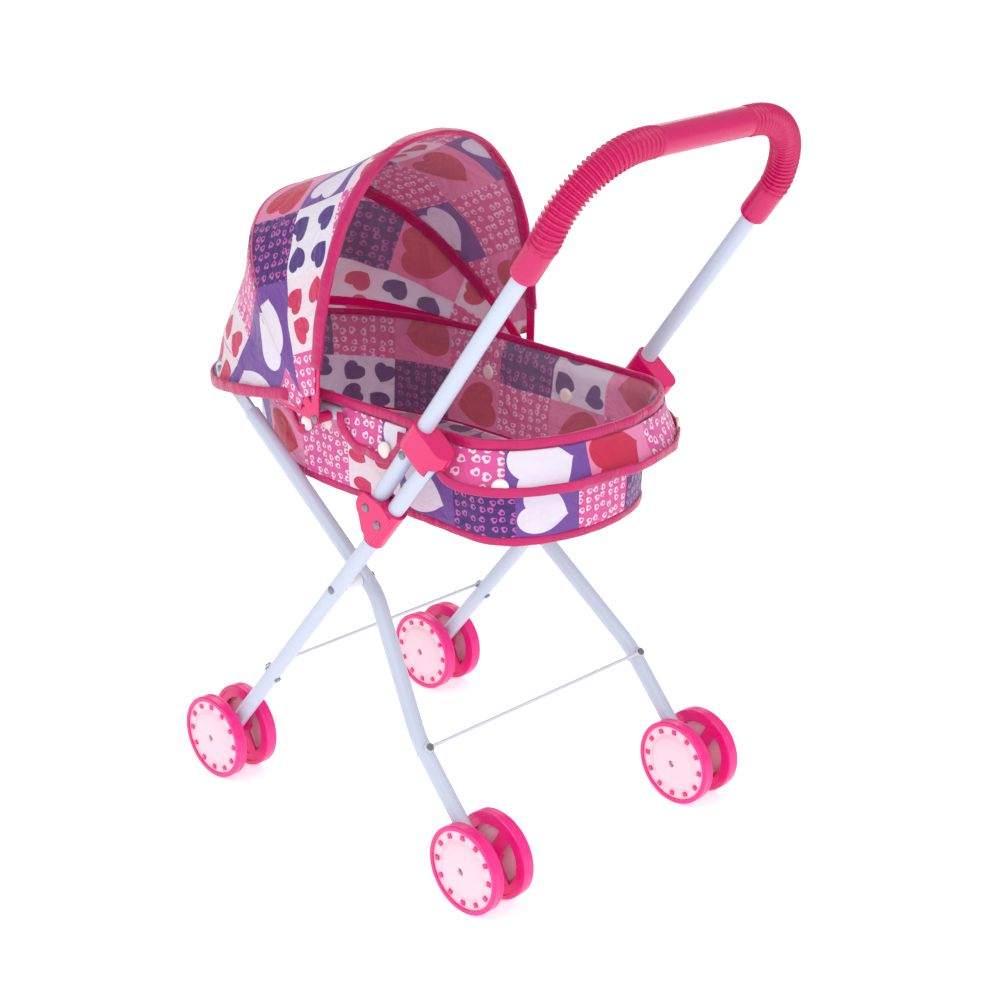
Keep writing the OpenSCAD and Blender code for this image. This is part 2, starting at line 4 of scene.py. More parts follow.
import bmesh
import bpy
import numpy as np
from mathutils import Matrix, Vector


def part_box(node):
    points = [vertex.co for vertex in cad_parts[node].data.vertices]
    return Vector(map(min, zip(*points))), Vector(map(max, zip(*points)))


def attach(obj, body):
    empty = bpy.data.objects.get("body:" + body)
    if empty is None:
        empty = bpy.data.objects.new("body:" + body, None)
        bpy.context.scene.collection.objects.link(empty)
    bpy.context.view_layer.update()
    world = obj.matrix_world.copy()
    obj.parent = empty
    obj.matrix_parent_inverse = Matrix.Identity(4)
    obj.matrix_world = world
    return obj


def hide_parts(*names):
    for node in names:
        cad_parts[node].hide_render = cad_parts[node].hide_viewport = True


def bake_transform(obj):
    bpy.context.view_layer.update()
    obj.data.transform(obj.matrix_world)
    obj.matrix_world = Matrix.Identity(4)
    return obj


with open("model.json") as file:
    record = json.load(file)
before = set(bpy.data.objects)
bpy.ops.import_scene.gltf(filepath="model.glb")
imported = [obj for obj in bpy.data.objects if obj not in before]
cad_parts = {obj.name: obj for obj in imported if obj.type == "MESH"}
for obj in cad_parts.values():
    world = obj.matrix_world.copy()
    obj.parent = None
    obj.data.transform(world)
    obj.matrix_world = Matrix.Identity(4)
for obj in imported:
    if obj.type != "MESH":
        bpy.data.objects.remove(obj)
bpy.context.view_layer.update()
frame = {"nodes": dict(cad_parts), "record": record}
scene = bpy.context.scene
nodes = frame["nodes"]

# The side view's points, in metres: the carrycot's ring gives the place of everything soft
ringLow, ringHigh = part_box("cot_ring")
shift = ringHigh[0] - 0.180
ringZ = (ringLow[2] + ringHigh[2]) / 2
hoodPivot = np.array([shift - 0.039, 0.0, ringZ - 0.0015])
ring = {"foot centre": shift + 0.1095, "head centre": shift - 0.060, "wide": 0.105, "foot": 0.0645, "head": 0.185}
bowShape = {"power": 2.35, "steps": 72}
# Each bow's lean in degrees, with half its width and its height
bows = {
    "front": {"angle": 87.5, "wide": 0.1261, "high": 0.220},
    "mid": {"angle": 136.5, "wide": 0.1246, "high": 0.2185},
    "rear": {"angle": 173.0, "wide": 0.1231, "high": 0.2170},
}


def linear(code):
    # An sRGB hex code as linear red, green, blue and alpha
    parts = [int(code[i : i + 2], 16) / 255 for i in (1, 3, 5)]
    return [p / 12.92 if p <= 0.04045 else ((p + 0.055) / 1.055) ** 2.4 for p in parts] + [1.0]


def addNode(tree, kind, feeds=None, **settings):
    node = tree.nodes.new(kind)
    for name, value in settings.items():
        setattr(node, name, value)
    for key, source in (feeds or {}).items():
        if isinstance(source, bpy.types.NodeSocket):
            tree.links.new(source, node.inputs[key])
        else:
            node.inputs[key].default_value = source
    return node


def newMaterial(name):
    material = bpy.data.materials.new(name)
    material.use_nodes = True
    tree = material.node_tree
    tree.nodes.clear()
    return material, tree, addNode(tree, "ShaderNodeOutputMaterial")


def maths(tree, operation, first, second=0.0):
    return addNode(tree, "ShaderNodeMath", {0: first, 1: second}, operation=operation).outputs[0]


def steps(tree, factor, stops):
    # A colour ramp of flat steps, from pairs of place and colour
    ramp = addNode(tree, "ShaderNodeValToRGB", {"Fac": factor})
    ramp.color_ramp.interpolation = "CONSTANT"
    ramp.color_ramp.elements[0].color = stops[0][1]
    ramp.color_ramp.elements.remove(ramp.color_ramp.elements[1])
    for place, colour in stops[1:]:
        ramp.color_ramp.elements.new(place).color = colour
    return ramp.outputs[0]


# ---- camera, light and floor ----

view = {"place": (1.2368, -1.1861, 0.9413), "back": (0.6608, -0.6576, 0.3620), "sensor": 36, "lens": 76.85}
camera = bpy.data.objects.new("camera", bpy.data.cameras.new("camera"))
scene.collection.objects.link(camera)
camera.location = view["place"]
camera.rotation_euler = Vector(view["back"]).to_track_quat("Z", "Y").to_euler()
camera.data.sensor_width = view["sensor"]
camera.data.lens = view["lens"]
camera.data.clip_start = 0.05
scene.view_settings.view_transform = "Standard"
scene.camera = camera

studio = {
    "key": {"place": (0.2, -1.9, 2.0), "size": 1.8, "power": 16},
    "front": {"place": (2.0, -1.3, 1.3), "size": 1.2, "power": 9},
    "fill": {"place": (2.1, 0.4, 1.3), "size": 1.8, "power": 8},
    "rim": {"place": (-1.5, 1.3, 1.7), "size": 1.4, "power": 10},
}
for name, lamp in studio.items():
    light = bpy.data.objects.new(name, bpy.data.lights.new(name, "AREA"))
    scene.collection.objects.link(light)
    light.location = lamp["place"]
    light.rotation_euler = (Vector(lamp["place"]) - Vector((0, 0, 0.3))).to_track_quat("Z", "Y").to_euler()
    light.data.size = lamp["size"]
    light.data.energy = lamp["power"]

world = bpy.data.worlds.new("studio")
scene.world = world
world.use_nodes = True
world.node_tree.nodes["Background"].inputs["Color"].default_value = linear("#FBFBFD")
world.node_tree.nodes["Background"].inputs["Strength"].default_value = 0.62

# Pale seamless floor, so that the wheels cast soft contact shadows
floorMesh = bpy.data.meshes.new("floor")
floorMesh.from_pydata([(-30, -30, 0), (30, -30, 0), (30, 30, 0), (-30, 30, 0)], [], [(0, 1, 2, 3)])
floor = bpy.data.objects.new("floor", floorMesh)
scene.collection.objects.link(floor)
paper, tree, out = newMaterial("white paper")
surface = addNode(tree, "ShaderNodeBsdfPrincipled", {"Base Color": linear("#FCFCFD"), "Roughness": 0.9,
    "Emission Color": linear("#FDFDFF"), "Emission Strength": 0.48})
tree.links.new(surface.outputs[0], out.inputs["Surface"])
floorMesh.materials.append(paper)
print("stage ready")

# ---- materials ----


def plastic(name, colour, roughness, grainMm, coat=0.2, soften=0.0008, glow=0.0):
    # Moulded plastic: rounded-looking edges, a faint orange-peel and slight wear in the shine
    material, tree, out = newMaterial(name)
    place = addNode(tree, "ShaderNodeTexCoord").outputs["Object"]
    grain = addNode(tree, "ShaderNodeTexNoise", {"Vector": place, "Scale": 1000 / grainMm, "Detail": 3.0})
    smudge = addNode(tree, "ShaderNodeTexNoise", {"Vector": place, "Scale": 45.0, "Detail": 4.0})
    shine = addNode(tree, "ShaderNodeMapRange", {"Value": smudge.outputs[0], "To Min": roughness * 0.75,
        "To Max": roughness * 1.35})
    edge = addNode(tree, "ShaderNodeBevel", {"Radius": soften}, samples=4)
    bump = addNode(tree, "ShaderNodeBump", {"Height": grain.outputs[0], "Strength": 0.12, "Distance": 0.0004,
        "Normal": edge.outputs[0]})
    surface = addNode(tree, "ShaderNodeBsdfPrincipled", {"Base Color": linear(colour), "Normal": bump.outputs[0],
        "Roughness": shine.outputs[0], "Coat Weight": coat, "Coat Roughness": 0.12,
        "Subsurface Weight": glow, "Subsurface Scale": 0.004})
    tree.links.new(surface.outputs[0], out.inputs["Surface"])
    return material


def steel(name, colour, roughness):
    # Plated or drawn steel with fine scratches in its shine
    material, tree, out = newMaterial(name)
    place = addNode(tree, "ShaderNodeTexCoord").outputs["Object"]
    scratch = addNode(tree, "ShaderNodeTexNoise", {"Vector": place, "Scale": 900.0, "Detail": 6.0})
    shine = addNode(tree, "ShaderNodeMapRange", {"Value": scratch.outputs[0], "To Min": roughness * 0.6,
        "To Max": roughness * 1.5})
    edge = addNode(tree, "ShaderNodeBevel", {"Radius": 0.0005}, samples=4)
    surface = addNode(tree, "ShaderNodeBsdfPrincipled", {"Base Color": linear(colour), "Metallic": 1.0,
        "Roughness": shine.outputs[0], "Normal": edge.outputs[0]})
    tree.links.new(surface.outputs[0], out.inputs["Surface"])
    return material


def heartGroup():
    # A heart as a curve: negative inside (x2 + y2 - 1)3 - x2 y3, turned by an angle
    group = bpy.data.node_groups.new("heart", "ShaderNodeTree")
    group.interface.new_socket("Place", in_out="INPUT", socket_type="NodeSocketVector")
    group.interface.new_socket("Angle", in_out="INPUT", socket_type="NodeSocketFloat")
    group.interface.new_socket("Depth", in_out="OUTPUT", socket_type="NodeSocketFloat")
    given = addNode(group, "NodeGroupInput")
    turned = addNode(group, "ShaderNodeVectorRotate", {"Vector": given.outputs[0], "Angle": given.outputs[1]},
        rotation_type="Z_AXIS")
    apart = addNode(group, "ShaderNodeSeparateXYZ", {0: turned.outputs[0]})
    xx = maths(group, "MULTIPLY", apart.outputs[0], apart.outputs[0])
    yy = maths(group, "MULTIPLY", apart.outputs[1], apart.outputs[1])
    disc = maths(group, "SUBTRACT", maths(group, "ADD", xx, yy), 1.0)
    cube = maths(group, "MULTIPLY", maths(group, "MULTIPLY", disc, disc), disc)
    lobes = maths(group, "MULTIPLY", xx, maths(group, "MULTIPLY", yy, apart.outputs[1]))
    addNode(group, "NodeGroupOutput", {0: maths(group, "SUBTRACT", cube, lobes)})
    return group


heart = heartGroup()
# Width of that curve in its own units, and the lean that most hearts share, in radians
heartWide = 2.28
heartLean = -1.35

# Printed squares of 64 mm: where each style starts, its ground and ink, and which hearts it carries
prints = [
    (0.00, "#F5F1FA", "#56308A", "middle"),
    (0.17, "#EC5AAA", "#FDEBF6", "small"),
    (0.36, "#4B2378", "#D860BC", "small"),
    (0.54, "#F592C2", "#D81E52", "large"),
    (0.70, "#7E4CA8", "#F4EEFA", "large"),
    (0.83, "#F8EAF2", "#E02766", "middle"),
]
# Pitch and size are in mm, turn in radians, stray a share of the pitch; hollow leaves only an outline
printScale = {
    "large": {"pitch": 64, "size": 50, "turn": 0.2, "stray": 0.05},
    "middle": {"pitch": 32, "size": 23, "turn": 2.6, "stray": 0.30},
    "small": {"pitch": 9.6, "size": 6.4, "turn": 2.4, "stray": 0.46, "hollow": -0.40},
}


def printedCloth(name, reverseAndPaintedLight, seed, see=0.16):
    # Thin satin polyester printed with heart squares; the second argument mixes the colour towards pale pink,
    # partly for the paler reverse of the print and partly as painted light that lifts the shaded inside of the
    # hood and basket
    material, tree, out = newMaterial(name)
    flat = addNode(tree, "ShaderNodeUVMap", uv_map="cloth")
    mm = addNode(tree, "ShaderNodeVectorMath", {0: flat.outputs[0], "Scale": 1000.0}, operation="SCALE")

    def cells(pitch):
        scaled = addNode(tree, "ShaderNodeVectorMath", {0: mm.outputs[0], "Scale": 1 / pitch}, operation="SCALE")
        cell = addNode(tree, "ShaderNodeVectorMath", {0: scaled.outputs[0]}, operation="FLOOR")
        within = addNode(tree, "ShaderNodeVectorMath", {0: scaled.outputs[0]}, operation="FRACTION")
        middle = addNode(tree, "ShaderNodeVectorMath", {0: within.outputs[0], 1: (0.5, 0.5, 0)},
            operation="SUBTRACT")
        number = addNode(tree, "ShaderNodeVectorMath", {0: cell.outputs[0], 1: (seed, seed, 0)}, operation="ADD")
        draw = addNode(tree, "ShaderNodeTexWhiteNoise", {"Vector": number.outputs[0]}, noise_dimensions="3D")
        return middle.outputs[0], draw

    _, patch = cells(printScale["large"]["pitch"])
    ground = steps(tree, patch.outputs["Value"], [(p[0], linear(p[1])) for p in prints])
    ink = steps(tree, patch.outputs["Value"], [(p[0], linear(p[2])) for p in prints])
    marks = None
    for scale, rule in printScale.items():
        middle, draw = cells(rule["pitch"])
        strayed = addNode(tree, "ShaderNodeVectorMath", {0: draw.outputs["Color"], 1: (rule["stray"],) * 3,
            2: (-rule["stray"] / 2,) * 3}, operation="MULTIPLY_ADD")
        placed = addNode(tree, "ShaderNodeVectorMath", {0: middle, 1: strayed.outputs[0]}, operation="ADD")
        sized = addNode(tree, "ShaderNodeVectorMath", {0: placed.outputs[0],
            "Scale": rule["pitch"] * heartWide / rule["size"]}, operation="SCALE")
        angle = addNode(tree, "ShaderNodeMapRange", {"Value": draw.outputs["Value"],
            "To Min": heartLean - rule["turn"] / 2, "To Max": heartLean + rule["turn"] / 2})
        shape = addNode(tree, "ShaderNodeGroup", node_tree=heart)
        tree.links.new(sized.outputs[0], shape.inputs[0])
        tree.links.new(angle.outputs[0], shape.inputs[1])
        mask = maths(tree, "LESS_THAN", shape.outputs[0], 0.0)
        if "hollow" in rule:
            mask = maths(tree, "MULTIPLY", mask, maths(tree, "GREATER_THAN", shape.outputs[0], rule["hollow"]))
        wanted = steps(tree, patch.outputs["Value"],
            [(p[0], [float(p[3] == scale)] * 3 + [1.0]) for p in prints])
        mask = maths(tree, "MULTIPLY", mask, wanted)
        marks = mask if marks is None else maths(tree, "ADD", marks, mask)
    colour = addNode(tree, "ShaderNodeMix", {0: marks, 6: ground, 7: ink}, data_type="RGBA")
    # Mixed towards pale pink: the real paler back of the print, with painted light added for the shaded inside
    pale = addNode(tree, "ShaderNodeMix", {0: reverseAndPaintedLight, 6: colour.outputs[2], 7: linear("#F6DCEC")},
        data_type="RGBA")
    finishCloth(tree, out, pale.outputs[2], mm.outputs[0], see, 0.42)
    return material


def finishCloth(tree, out, colour, mm, see, roughness):
    # Plain weave of 0.5 mm threads, fine crinkles and soft creases, with some light let through
    apart = addNode(tree, "ShaderNodeSeparateXYZ", {0: mm})
    warp = maths(tree, "SINE", maths(tree, "MULTIPLY", apart.outputs[0], 2 * math.pi / 0.5))
    weft = maths(tree, "SINE", maths(tree, "MULTIPLY", apart.outputs[1], 2 * math.pi / 0.5))
    weave = maths(tree, "MULTIPLY", warp, weft)
    crinkle = addNode(tree, "ShaderNodeTexNoise", {"Vector": mm, "Scale": 0.09, "Detail": 4.0, "Distortion": 1.2})
    crease = addNode(tree, "ShaderNodeTexNoise", {"Vector": mm, "Scale": 0.028, "Detail": 2.0, "Distortion": 2.0})
    threads = addNode(tree, "ShaderNodeBump", {"Height": weave, "Strength": 0.10, "Distance": 0.0002})
    fine = addNode(tree, "ShaderNodeBump", {"Height": crinkle.outputs[0], "Strength": 0.42, "Distance": 0.0022,
        "Normal": threads.outputs[0]})
    broad = addNode(tree, "ShaderNodeBump", {"Height": crease.outputs[0], "Strength": 0.5, "Distance": 0.006,
        "Normal": fine.outputs[0]})
    surface = addNode(tree, "ShaderNodeBsdfPrincipled", {"Base Color": colour, "Roughness": roughness,
        "Sheen Weight": 0.25, "Sheen Roughness": 0.4, "Normal": broad.outputs[0]})
    through = addNode(tree, "ShaderNodeBsdfTranslucent", {"Color": colour, "Normal": broad.outputs[0]})
    mixed = addNode(tree, "ShaderNodeMixShader", {0: see, 1: surface.outputs[0], 2: through.outputs[0]})
    tree.links.new(mixed.outputs[0], out.inputs["Surface"])


def satin(name, colour, see=0.05):
    material, tree, out = newMaterial(name)
    flat = addNode(tree, "ShaderNodeUVMap", uv_map="cloth")
    mm = addNode(tree, "ShaderNodeVectorMath", {0: flat.outputs[0], "Scale": 1000.0}, operation="SCALE")
    shade = addNode(tree, "ShaderNodeTexNoise", {"Vector": mm.outputs[0], "Scale": 0.05, "Detail": 3.0})
    tone = addNode(tree, "ShaderNodeMix", {0: shade.outputs[0], 6: linear(colour), 7: linear("#B4045A")},
        data_type="RGBA")
    finishCloth(tree, out, tone.outputs[2], mm.outputs[0], see, 0.36)
    return material


looks = {
    "tube_white": plastic("white powder coat", "#C6CEE0", 0.30, 1.2, coat=0.15, soften=0.0004),
    "wire_white": plastic("white coated wire", "#D6D9E4", 0.35, 0.8, coat=0.1, soften=0.0003),
    "axle_steel": steel("drawn steel", "#B4B7BC", 0.28),
    "rivet_grey": steel("plated rivet", "#8C8F96", 0.32),
    "spacer_white": plastic("white plastic", "#ECECF2", 0.4, 1.0),
    "pink_plastic": plastic("hot pink plastic", "#E2006A", 0.22, 1.5, coat=0.3, soften=0.0024, glow=0.0),
    "grip_pink": plastic("soft grip pink", "#CC0060", 0.26, 0.9, coat=0.15, glow=0.0),
    "wheel_pink": plastic("wheel pink", "#FA1A8A", 0.28, 1.5, coat=0.2, soften=0.0007, glow=0.03),
    "cap_pale": plastic("pale pink plastic", "#F9D3DF", 0.34, 1.5, coat=0.1, soften=0.0006, glow=0.12),
    "snap_ivory": plastic("ivory plastic", "#F6E7E2", 0.25, 1.2, coat=0.2, glow=0.1),
    "base_card": plastic("grey board", "#A39B8E", 0.8, 2.0, coat=0.0),
}
clothOut = printedCloth("printed cloth", 0.0, 3.0, 0.22)
# The reverse, seen inside the hood and basket and on the basket floor, is mixed 0.30 of the way to pale pink:
# partly its real paler print, partly painted light
clothIn = printedCloth("printed cloth reverse", 0.30, 3.0, 0.40)
binding = satin("pink satin binding", "#D6046C")
bindingDark = satin("pink satin inside", "#D8106C", 0.15)
for row in frame["record"]["subparts"]:
    if row["material_slot"] in looks:
        part = nodes[row["node"]]
        part.data.materials.clear()
        part.data.materials.append(looks[row["material_slot"]])
print("materials ready")

# ---- making surfaces ----


def newPiece(name, points, flat, materials, wrap=False, closedRows=False):
    # Grid of points, rows by columns; wrap joins the last column to the first, closedRows the last row
    rows, columns = points.shape[:2]
    index = np.arange(rows * columns).reshape(rows, columns)
    if wrap:
        index = np.concatenate([index, index[:, :1]], 1)
    if closedRows:
        index = np.concatenate([index, index[:1]], 0)
    faces = np.stack([index[:-1, :-1], index[:-1, 1:], index[1:, 1:], index[1:, :-1]], -1).reshape(-1, 4)
    mesh = bpy.data.meshes.new(name)
    mesh.from_pydata(points.reshape(-1, 3).tolist(), [], faces.tolist())
    corners = np.stack([flat[:-1, :-1], flat[:-1, 1:], flat[1:, 1:], flat[1:, :-1]], 2).reshape(-1, 2)
    layer = mesh.uv_layers.new(name="cloth")
    layer.data.foreach_set("uv", corners.astype(np.float32).ravel())
    mesh.polygons.foreach_set("use_smooth", np.ones(len(faces), dtype=bool))
    for material in materials:
        mesh.materials.append(material)
    piece = bpy.data.objects.new(name, mesh)
    scene.collection.objects.link(piece)
    return piece


def thicken(piece, thick):
    # A real thickness, its reverse in the second material
    cloth = piece.modifiers.new("thickness", "SOLIDIFY")
    cloth.thickness = thick
    cloth.offset = -1
    cloth.material_offset = len(piece.data.materials) - 1
    cloth.material_offset_rim = 0


def lengths(points, axis):
    # Distance run along an axis of a grid of points
    run = np.linalg.norm(np.diff(points, axis=axis), axis=-1)
    pad = np.zeros_like(np.take(run, [0], axis=axis))
    return np.concatenate([pad, np.cumsum(run, axis=axis)], axis)


def flatArea(points):
    # Half the cross product of each square's diagonals, added up
    first = points[1:, 1:] - points[:-1, :-1]
    second = points[1:, :-1] - points[:-1, 1:]
    return float(np.linalg.norm(np.cross(first, second), axis=-1).sum() / 2)


def ripples(u, v, shortest, longest, count, seed, across=1.0):
    # Sum of plane waves of random direction and length, from -1 to 1; across stretches them along v
    draw = np.random.default_rng(seed)
    total = np.zeros_like(u)
    for _ in range(count):
        angle, phase = draw.uniform(0, 2 * math.pi, 2)
        length = draw.uniform(shortest, longest)
        total += np.sin(2 * math.pi * (u * math.cos(angle) + v * across * math.sin(angle)) / length + phase)
    return total / math.sqrt(count)


def outline(wide, foot, head):
    # Half ellipses at both ends joined by straight sides, anticlockwise from the middle of the head end
    turn = np.radians(np.linspace(0, 90, 40))
    side = np.linspace(0, 1, 42)[1:-1]
    centre = [ring["head centre"], ring["foot centre"]]
    span = centre[0] + (centre[1] - centre[0]) * side
    xs = [centre[0] - head * np.cos(turn), span, centre[1] + foot * np.sin(turn),
        centre[1] + foot * np.cos(turn[1:]), span[::-1], centre[0] - head * np.sin(turn[:-1])]
    ys = [-wide * np.sin(turn), 0 * span - wide, -wide * np.cos(turn), wide * np.sin(turn[1:]),
        0 * span + wide, wide * np.cos(turn[:-1])]
    return np.stack([np.concatenate(xs), np.concatenate(ys)], -1)


def around(offset, z):
    # The ring's own outline moved outward by offset, at height z
    flat = outline(ring["wide"] + offset, ring["foot"] + offset, ring["head"] + offset)
    return np.concatenate([flat, np.full((len(flat), 1), z)], 1)


def along(route, loop=False):
    # Unit direction at each point of a route
    if loop:
        step = np.roll(route, -1, 0) - np.roll(route, 1, 0)
    else:
        step = np.gradient(route, axis=0)
    return step / np.linalg.norm(step, axis=1, keepdims=True)


def ribbon(name, route, across, width, thick, material, loop=False, seed=1, ruffle=0.0003):
    # Folded binding: a flat rounded section carried along a route, across being its broad way
    ahead = along(route, loop)
    across = across - (across * ahead).sum(1, keepdims=True) * ahead
    across = across / np.linalg.norm(across, axis=1, keepdims=True)
    outward = np.cross(ahead, across)
    turn = np.linspace(0, 2 * math.pi, 17)[:-1]
    broad = np.sign(np.cos(turn)) * np.abs(np.cos(turn)) ** 0.55 * width / 2
    deep = np.sign(np.sin(turn)) * np.abs(np.sin(turn)) ** 0.8 * thick / 2
    far = lengths(route, 0)
    swell = 1 + 0.05 * ripples(far, far * 0, 0.015, 0.05, 5, seed)
    wave = ruffle * ripples(far, far * 0, 0.015, 0.05, 5, seed + 1)
    points = (route[:, None] + across[:, None] * (broad[None] * swell[:, None])[..., None]
        + outward[:, None] * (deep[None] * swell[:, None] + wave[:, None])[..., None])
    if loop:
        grid = points.transpose(1, 0, 2)
        u = np.concatenate([far, [far[-1] + np.linalg.norm(route[0] - route[-1])]])
        v = np.linspace(0, width * 2.2, len(turn) + 1)
        flat = np.stack(np.meshgrid(u, v), -1)
        return newPiece(name, grid, flat, [material], wrap=True, closedRows=True)
    # Ends closed by drawing the section to a point
    caps = [route[:1, None] + 0 * points[:1], points, route[-1:, None] + 0 * points[-1:]]
    grid = np.concatenate(caps).transpose(1, 0, 2)
    u = np.concatenate([[0], far, [far[-1]]])
    v = np.linspace(0, width * 2.2, len(turn) + 1)
    piece = newPiece(name, grid, np.stack(np.meshgrid(u, v), -1), [material], closedRows=True)
    return weld(piece)


def weld(piece):
    # Joins points that lie on one another, such as a pole's
    shape = bmesh.new()
    shape.from_mesh(piece.data)
    bmesh.ops.remove_doubles(shape, verts=shape.verts, dist=1e-6)
    bmesh.ops.recalc_face_normals(shape, faces=shape.faces)
    shape.to_mesh(piece.data)
    shape.free()
    return piece


def soft(piece, body):
    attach(piece, body)
    return piece


# ---- carrycot: basket, its floor, bindings and flaps ----

clothThick = 0.0007
basket = {"rows": 26, "low": 0.2972, "top": ringZ + 0.0135}
# Bottom outline, the outline inside the ring, and the fold over the ring's top
levels = [
    (outline(0.0895, 0.054, 0.170), basket["low"]),
    (outline(0.0915, 0.0560, 0.1725), basket["low"] + 0.004),
    (outline(0.0950, 0.0575, 0.1755), ringZ - 0.030),
    (outline(0.0972, 0.0565, 0.1770), ringZ - 0.006),
    (outline(0.0985, 0.0585, 0.1785), ringZ + 0.006),
    (outline(0.1060, 0.0655, 0.1860), basket["top"]),
]
stations = np.array([0.0, 0.06, 0.52, 0.80, 0.90, 1.0])
rise = np.linspace(0, 1, basket["rows"])
layers = np.array([np.concatenate([flat, np.full((len(flat), 1), z)], 1) for flat, z in levels])
pick = np.clip(np.searchsorted(stations, rise, "right") - 1, 0, len(stations) - 2)
part = ((rise - stations[pick]) / (stations[pick + 1] - stations[pick]))[:, None, None]
wall = layers[pick] * (1 - part) + layers[pick + 1] * part
reach = lengths(np.concatenate([wall[-1], wall[-1][:1]]), 0)
u = np.tile(reach[None, :-1], (basket["rows"], 1))
v = np.tile(rise[:, None] * 0.105, (1, wall.shape[1]))
outward = wall - wall.mean(1, keepdims=True)
outward[..., 2] = 0
outward /= np.linalg.norm(outward, axis=-1, keepdims=True)
# Pulled-in folds that die out at both edges, where the cloth is sewn
slack = np.sin(math.pi * rise)[:, None] ** 0.7
wall = wall + outward * (slack * (0.0011 * ripples(u, v, 0.018, 0.05, 7, 11, 0.35) - 0.0010))[..., None]
flat = np.stack(np.meshgrid(reach, rise * 0.105), -1)
basketCloth = newPiece("basket_cloth", wall, flat, [clothOut, clothIn], wrap=True)
thicken(basketCloth, clothThick)
soft(basketCloth, "carrycot")
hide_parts("cot_liner")

# Cloth over the board on the bottom, in rings from its middle outward
spread = np.linspace(0, 1, 22)[:, None, None]
edge = outline(0.0885, 0.053, 0.169)
middle = np.array([(edge[:, 0].min() + edge[:, 0].max()) / 2, 0.0])
plane = middle + (edge - middle)[None] * spread
dying = np.sin(math.pi * spread[..., 0])
floorZ = 0.3008 + 0.0012 * ripples(plane[..., 0], plane[..., 1], 0.03, 0.09, 7, 21) * dying
bed = np.concatenate([plane, floorZ[..., None]], -1)
flatBed = np.concatenate([plane, plane[:, :1]], 1)
basketFloor = weld(newPiece("basket_floor_cloth", bed, flatBed, [clothIn, clothIn], wrap=True))
soft(basketFloor, "carrycot")

up = np.array([0.0, 0.0, 1.0])
topRoute = around(0.0035, basket["top"] + 0.0008)
topBinding = ribbon("basket_top_binding", topRoute, np.tile(up, (len(topRoute), 1)), 0.0095, 0.0050, binding,
    True, 31)
soft(topBinding, "carrycot")
lowFlat = outline(0.0900, 0.0545, 0.1705)
lowRoute = np.concatenate([lowFlat, np.full((len(lowFlat), 1), basket["low"] + 0.0012)], 1)
lowBinding = ribbon("basket_bottom_piping", lowRoute, np.tile(up, (len(lowRoute), 1)), 0.0075, 0.0042, binding,
    True, 41)
soft(lowBinding, "carrycot")

# Flaps that fold out over the ring: the node, its name, and how far it reaches along each side
flapTop = ringZ + 0.0105
flapLow = 0.3500
flapShape = {"corner": 0.026, "hem": 0.0082, "hem thick": 0.0024}
flaps = {
    "valance_foot": {"name": "flap_foot", "from": 0.098, "sides": 0, "flare": 0.0115},
    "valance_left_side": {"name": "flap_left_side", "from": -0.022, "to": 0.056, "sides": -1, "flare": 0.0030},
    "valance_right_side": {"name": "flap_right_side", "from": -0.022, "to": 0.056, "sides": 1, "flare": 0.0030},
    "valance_left_head": {"name": "flap_left_head", "from": -0.096, "to": -0.047, "sides": -1, "flare": 0.0030},
    "valance_right_head": {"name": "flap_right_head", "from": -0.096, "to": -0.047, "sides": 1, "flare": 0.0030},
}
base = around(0.0, 0.0)
for node, rule in flaps.items():
    inside = base[:, 0] > rule["from"] + shift
    if rule["sides"]:
        inside &= (base[:, 0] < rule["to"] + shift) & (base[:, 1] * rule["sides"] > 0)
    chosen = np.flatnonzero(inside)
    # Finer steps along the flap than the outline has
    fine = np.linspace(0, len(chosen) - 1, max(60, 2 * len(chosen)))
    line = np.stack([np.interp(fine, np.arange(len(chosen)), base[chosen, k]) for k in range(2)], -1)
    ahead = along(np.concatenate([line, 0 * line[:, :1]], 1))
    square = np.stack([ahead[:, 1], -ahead[:, 0]], -1)
    run = lengths(line, 0)
    # Lower edge: straight, with rounded corners that climb towards the ring at both ends
    corner = flapShape["corner"]
    fromEnd = np.clip(np.minimum(run, run[-1] - run) / corner, 0, 1)
    low = flapLow + (flapTop - 0.006 - flapLow) * (1 - np.sqrt(1 - (1 - fromEnd) ** 2))
    low = low + 0.0012 * ripples(run, run * 0, 0.03, 0.09, 4, len(chosen))
    drop = np.linspace(0, 1, 18)[:, None]
    height = flapTop + (low - flapTop)[None] * drop
    uneven = 0.0008 * ripples(run + 0 * drop, height, 0.02, 0.06, 6, 7 + len(chosen)) * drop
    bulge = 0.0070 + (rule["flare"] + 0.0010) * drop ** 1.5 + uneven
    sheetPoints = np.concatenate([line[None] + square[None] * bulge[..., None], height[..., None]], -1)
    mean = np.stack(np.broadcast_arrays(run[None], -(height - flapTop)), -1)
    flap = newPiece(rule["name"], sheetPoints[::-1], mean[::-1] + [0.017, 0.016], [clothOut, clothIn])
    thicken(flap, clothThick)
    area = flatArea(sheetPoints)
    soft(flap, "carrycot")
    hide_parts(node)
    hemLine = sheetPoints[-1] + np.concatenate([square * 0.0003, np.full((len(run), 1), 0.0030)], 1)
    hem = ribbon(rule["name"] + "_binding", hemLine, np.tile(up, (len(run), 1)), flapShape["hem"],
        flapShape["hem thick"], binding, seed=50 + len(chosen))
    soft(hem, "carrycot")
print("carrycot ready")

# ---- hood ----


def arch(bow, grow):
    # Superellipse |y/wide|^n + (h/high)^n = 1 stood on the hood's pivots at the bow's lean, grown outward
    turn = np.linspace(0, math.pi, bowShape["steps"] * 2 + 1)
    sharp = 2 / bowShape["power"]
    y = -(bows[bow]["wide"] + grow) * np.sign(np.cos(turn)) * np.abs(np.cos(turn)) ** sharp
    h = (bows[bow]["high"] + grow) * np.sin(turn).clip(0) ** sharp
    lean = math.radians(bows[bow]["angle"])
    return hoodPivot + np.stack([h * math.cos(lean), y, h * math.sin(lean)], -1)


